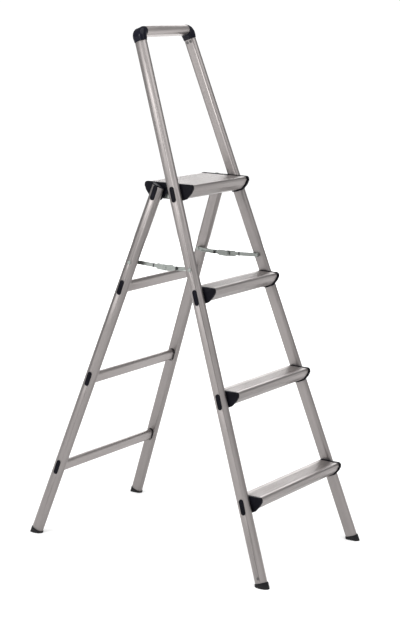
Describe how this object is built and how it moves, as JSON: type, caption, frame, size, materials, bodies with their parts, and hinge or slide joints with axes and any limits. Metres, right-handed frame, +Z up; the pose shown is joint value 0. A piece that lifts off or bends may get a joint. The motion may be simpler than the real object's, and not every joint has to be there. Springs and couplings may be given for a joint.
{
  "type": "step ladder",
  "caption": "Folding A-frame step ladder with flattened-tube stiles, ribbed treads, a standing platform, a raised grab handle and folding side stays.",
  "frame": {"origin": "on the floor under the middle of the four feet", "axes": "+Z up; the climber stands on the -Y side and faces +Y; +X is the climber's right"},
  "size_m": [0.477, 0.7634, 1.3552],
  "materials": {
    "aluminium": "satin",
    "black_plastic": "satin",
    "handle_plastic": "gloss",
    "foot_rubber": "matt",
    "steel": "zinc plated"
  },
  "bodies": {
    "front_frame": {"elbow_rivets": "steel", "foot_rivets": "steel", "front_foot_left": "foot_rubber", "front_foot_right": "foot_rubber", "handle_bar": "aluminium", "handle_elbow_left": "handle_plastic", "handle_elbow_right": "handle_plastic", "hinge_bushes": "steel", "hinge_plate_left": "steel", "hinge_plate_right": "steel", "hinge_screws": "steel", "hinge_washers": "black_plastic", "platform_cap_left": "black_plastic", "platform_cap_right": "black_plastic", "platform_deck": "aluminium", "stay_pivots_front": "steel", "stay_spacers_front": "steel", "stile_left": "aluminium", "stile_plugs_left": "black_plastic", "stile_plugs_right": "black_plastic", "stile_right": "aluminium", "tread_1": "aluminium", "tread_1_cap_left": "black_plastic", "tread_1_cap_right": "black_plastic", "tread_2": "aluminium", "tread_2_cap_left": "black_plastic", "tread_2_cap_right": "black_plastic", "tread_3": "aluminium", "tread_3_cap_left": "black_plastic", "tread_3_cap_right": "black_plastic", "tread_screws_left": "steel", "tread_screws_right": "steel"},
    "rear_frame": {"leg_insert_left": "black_plastic", "leg_insert_right": "black_plastic", "leg_plugs_left": "black_plastic", "leg_plugs_right": "black_plastic", "rail_collars_left": "black_plastic", "rail_collars_right": "black_plastic", "rail_screws_left": "steel", "rail_screws_right": "steel", "rear_foot_left": "foot_rubber", "rear_foot_right": "foot_rubber", "rear_leg_left": "aluminium", "rear_leg_right": "aluminium", "rear_rail_1": "aluminium", "rear_rail_2": "aluminium", "rear_rail_3": "aluminium", "stay_pivots_rear": "steel", "stay_spacers_rear": "steel"},
    "stay_front_left": {"knuckle_rivet_front_left": "steel", "stay_front_left": "steel"},
    "stay_front_right": {"knuckle_rivet_front_right": "steel", "stay_front_right": "steel"},
    "stay_rear_left": {"knuckle_rivet_rear_left": "steel", "stay_rear_left": "steel"},
    "stay_rear_right": {"knuckle_rivet_rear_right": "steel", "stay_rear_right": "steel"}
  },
  "joints": [
    {"name": "rear_frame_fold", "type": "hinge", "parent": "front_frame", "child": "rear_frame", "pos_m": [0, 0.0292, 0.941], "axis": [-1, 0, 0], "range_deg": [0, 38.6]},
    {"name": "stay_front_left_swing", "type": "hinge", "parent": "front_frame", "child": "stay_front_left", "pos_m": [-0.14982, -0.09372, 0.75774], "axis": [0.996, 0, -0.0889], "range_deg": [0, 94.12]},
    {"name": "stay_rear_left_swing", "type": "hinge", "parent": "rear_frame", "child": "stay_rear_left", "pos_m": [-0.14982, 0.09372, 0.75774], "axis": [-0.996, 0, 0.0889], "range_deg": [0, 94.12]},
    {"name": "stay_front_right_swing", "type": "hinge", "parent": "front_frame", "child": "stay_front_right", "pos_m": [0.14982, -0.09372, 0.75774], "axis": [0.996, 0, 0.0889], "range_deg": [0, 94.12]},
    {"name": "stay_rear_right_swing", "type": "hinge", "parent": "rear_frame", "child": "stay_rear_right", "pos_m": [0.14982, 0.09372, 0.75774], "axis": [-0.996, 0, -0.0889], "range_deg": [0, 94.12]}
  ],
  "couplings": [
    {"joint": "stay_front_left_swing", "follows": "rear_frame_fold", "ratio": 2.4254},
    {"joint": "stay_rear_left_swing", "follows": "rear_frame_fold", "ratio": 2.4254},
    {"joint": "stay_front_right_swing", "follows": "rear_frame_fold", "ratio": 2.4254},
    {"joint": "stay_rear_right_swing", "follows": "rear_frame_fold", "ratio": 2.4254}
  ]
}
